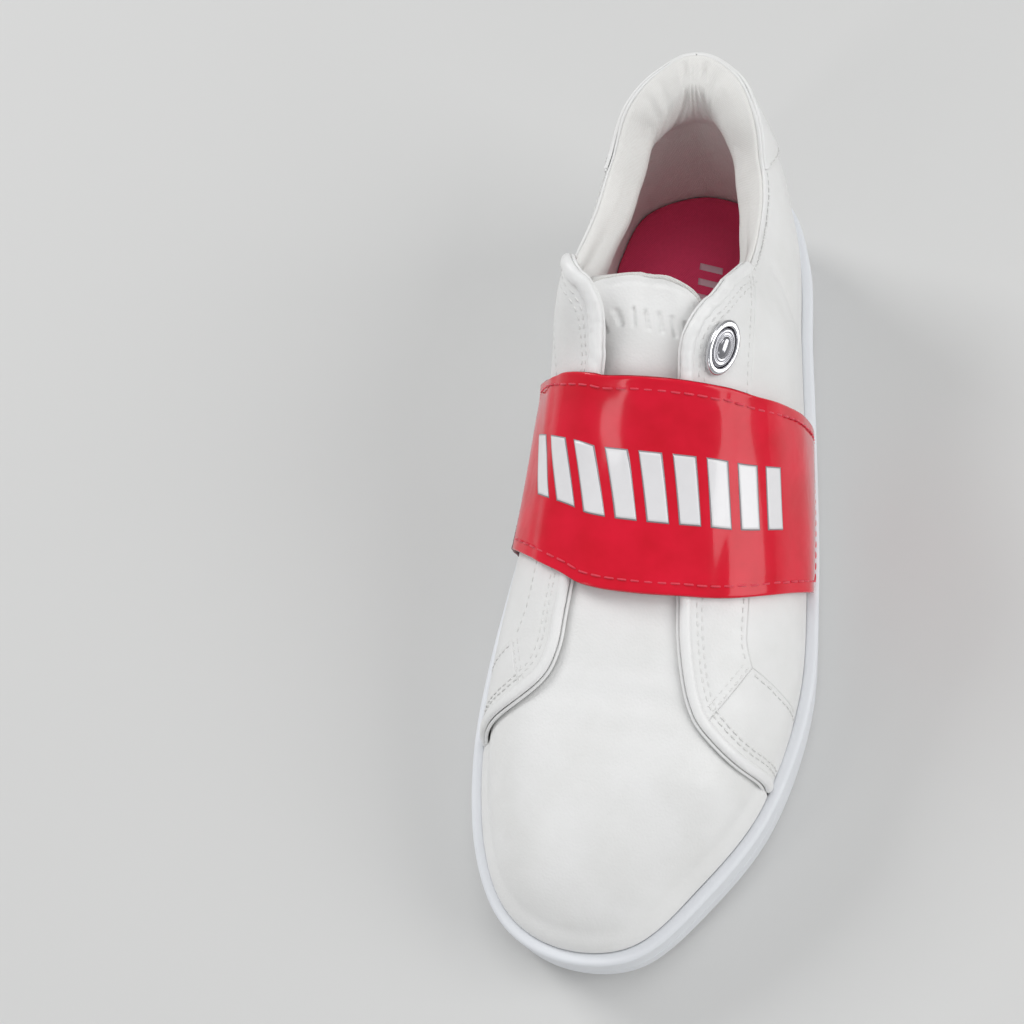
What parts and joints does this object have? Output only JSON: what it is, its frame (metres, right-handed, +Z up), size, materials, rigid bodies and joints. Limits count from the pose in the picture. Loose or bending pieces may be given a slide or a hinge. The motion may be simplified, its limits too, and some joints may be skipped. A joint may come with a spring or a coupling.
{
  "type": "slip-on shoe",
  "caption": "Low slip-on left shoe: cupsole, leather upper, padded collar and tongue, and a wide strap with an elastic gore over the instep.",
  "frame": {"origin": "on the ground under the middle of the box around the shoe", "axes": "+Z up, +Y towards the heel and -Y towards the toe, +X towards the outer (lateral) side of the left shoe"},
  "size_m": [0.1002, 0.2703, 0.1075],
  "materials": {
    "sole_rubber": "satin moulded white rubber",
    "midsole_foam": "matt closed-cell foam",
    "board": "matt fibre board",
    "footbed_foam": "matt open-cell foam",
    "footbed_cloth": "matt red brushed cloth",
    "white_leather": "smooth satin white synthetic leather",
    "piping_white": "satin rolled edge",
    "lining_cloth": "matt cream textile",
    "stiffener": "matt impregnated board",
    "padding_foam": "matt open-cell foam",
    "red_patent": "high-gloss red patent",
    "red_backing": "matt red felt backing",
    "gore_elastic": "matt ribbed elastic",
    "stud_metal": "polished plated metal",
    "plate_metal": "plain steel"
  },
  "bodies": {
    "shoe": {"cupsole": "sole_rubber", "midsole_insert": "midsole_foam", "strobel_board": "board", "footbed_foam": "footbed_foam", "footbed_cover": "footbed_cloth", "vamp": "white_leather", "vamp_lining": "lining_cloth", "toe_puff": "stiffener", "quarter_lateral": "white_leather", "quarter_medial": "white_leather", "facing_lateral": "white_leather", "facing_medial": "white_leather", "side_patch_lateral": "white_leather", "side_patch_medial": "white_leather", "quarter_lining_lateral": "lining_cloth", "quarter_lining_medial": "lining_cloth", "piping_lateral": "piping_white", "piping_medial": "piping_white", "collar_foam": "padding_foam", "collar_lining": "lining_cloth", "heel_counter": "stiffener", "heel_patch": "white_leather", "strap_gore": "gore_elastic", "stud_ring": "stud_metal", "stud_face": "stud_metal", "stud_backplate": "plate_metal"},
    "tongue": {"tongue_cover": "white_leather", "tongue_foam": "padding_foam", "tongue_lining": "lining_cloth"},
    "strap": {"strap_patent": "red_patent", "strap_backing": "red_backing"}
  },
  "joints": [
    {"name": "tongue_hinge", "type": "hinge", "parent": "shoe", "child": "tongue", "pos_m": [0, -0.0345, 0.056], "axis": [1, 0, 0], "range_deg": [-18, 0], "stiffness_Nm_per_rad": 0.08},
    {"name": "strap_lift", "type": "hinge", "parent": "shoe", "child": "strap", "pos_m": [0.0465, 0.006, 0.033], "axis": [0, 1, 0], "range_deg": [0, 4], "stiffness_Nm_per_rad": 2, "deforming": ["strap_gore"]}
  ]
}
